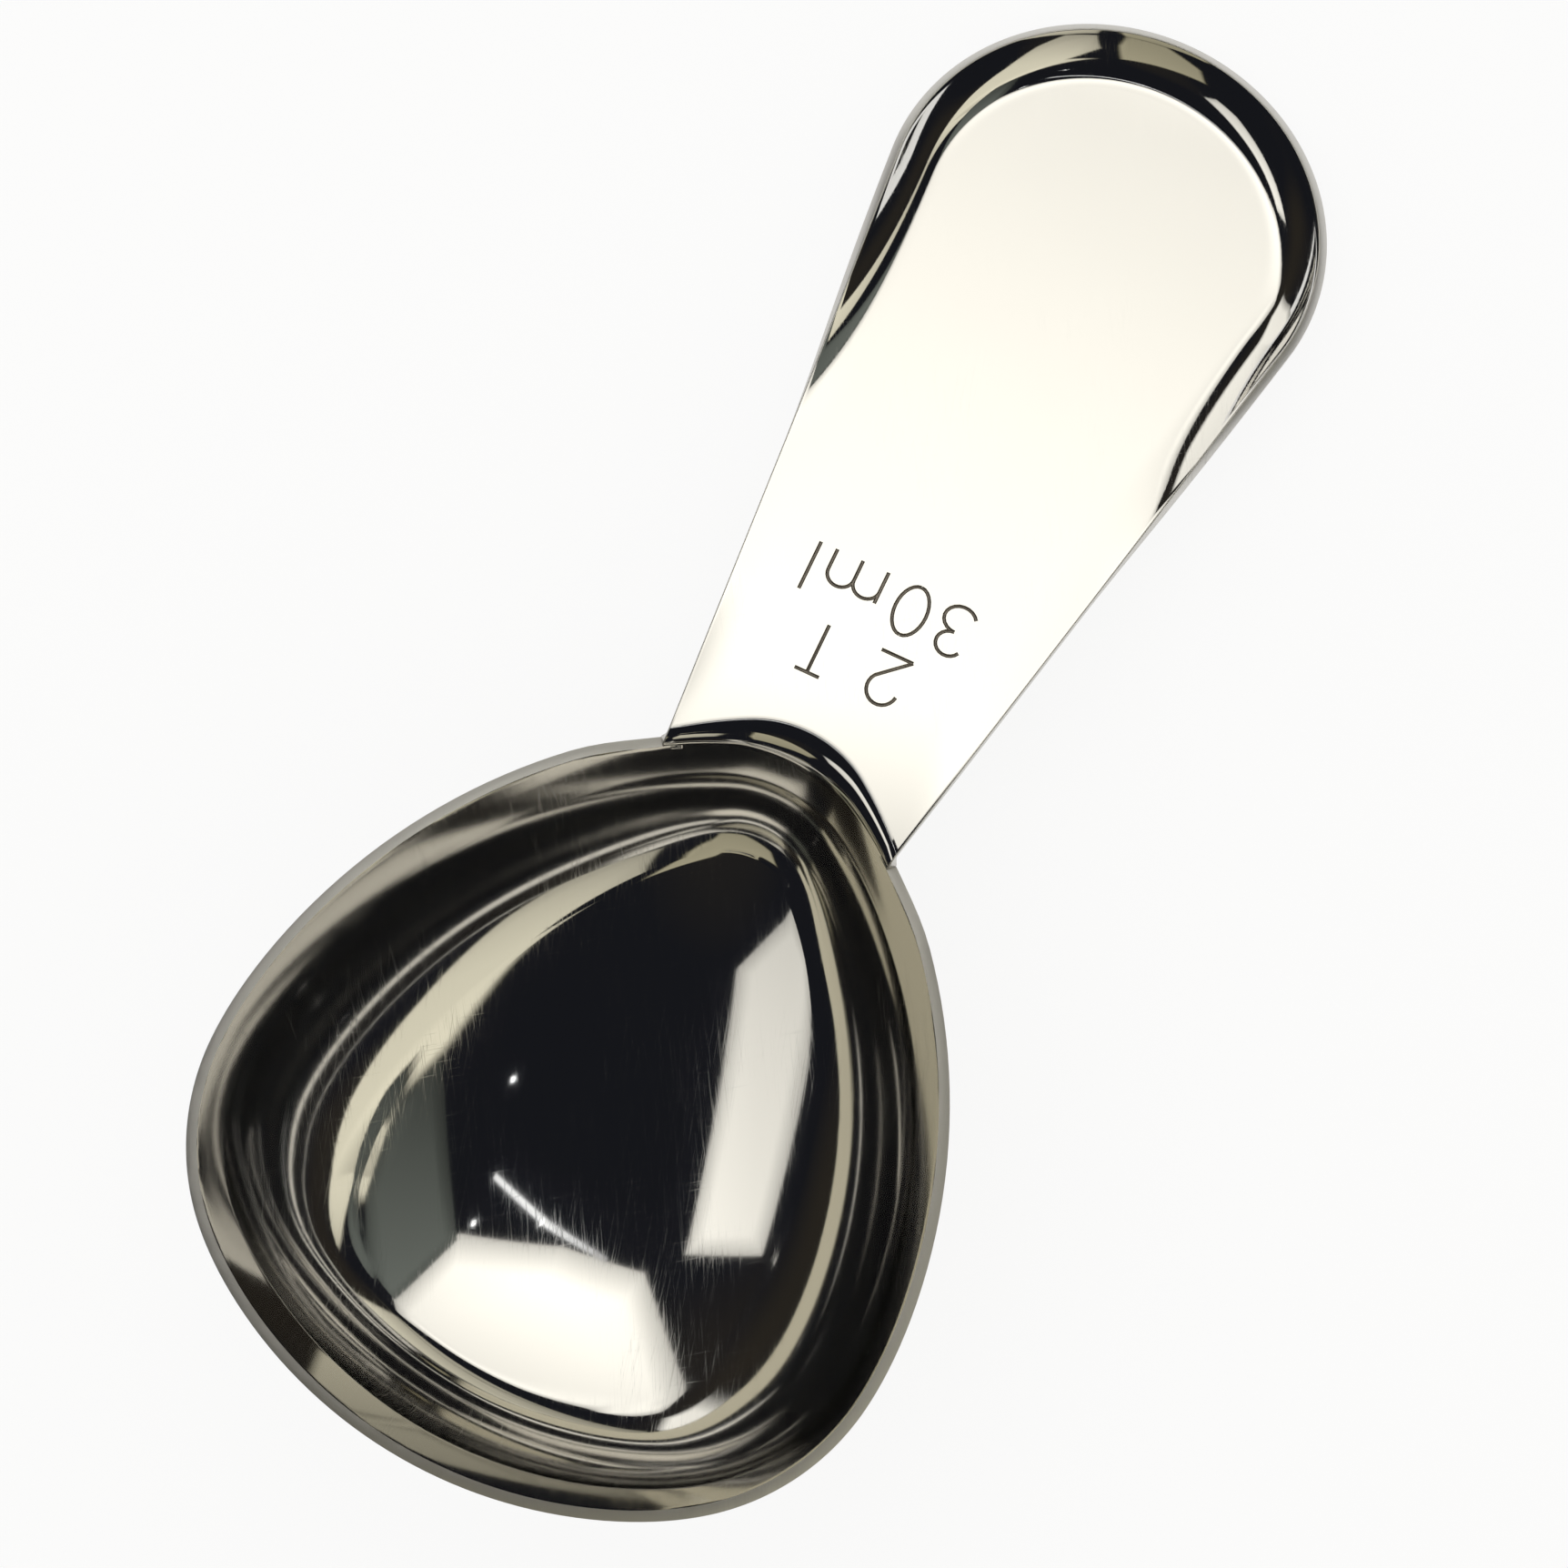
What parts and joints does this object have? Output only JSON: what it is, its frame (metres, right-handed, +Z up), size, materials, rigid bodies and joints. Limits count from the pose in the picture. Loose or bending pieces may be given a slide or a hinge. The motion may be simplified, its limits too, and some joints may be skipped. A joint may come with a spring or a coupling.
{
  "type": "coffee scoop",
  "caption": "Polished steel coffee scoop: rounded-triangle bowl with a steep collar and a shallow rounded bottom, and a flat tapered thumb handle turned up round its end.",
  "frame": {"origin": "centre of the scoop's footprint box, on the table it lies on", "axes": "+X from the bowl towards the end of the handle, +Z up, +Y across the scoop"},
  "size_m": [0.1152, 0.0528, 0.0264],
  "materials": {
    "polished_steel": "mirror-polished stainless steel sheet with fine polishing scratches"
  },
  "bodies": {
    "root": {"bowl": "polished_steel", "handle": "polished_steel"}
  },
  "joints": []
}
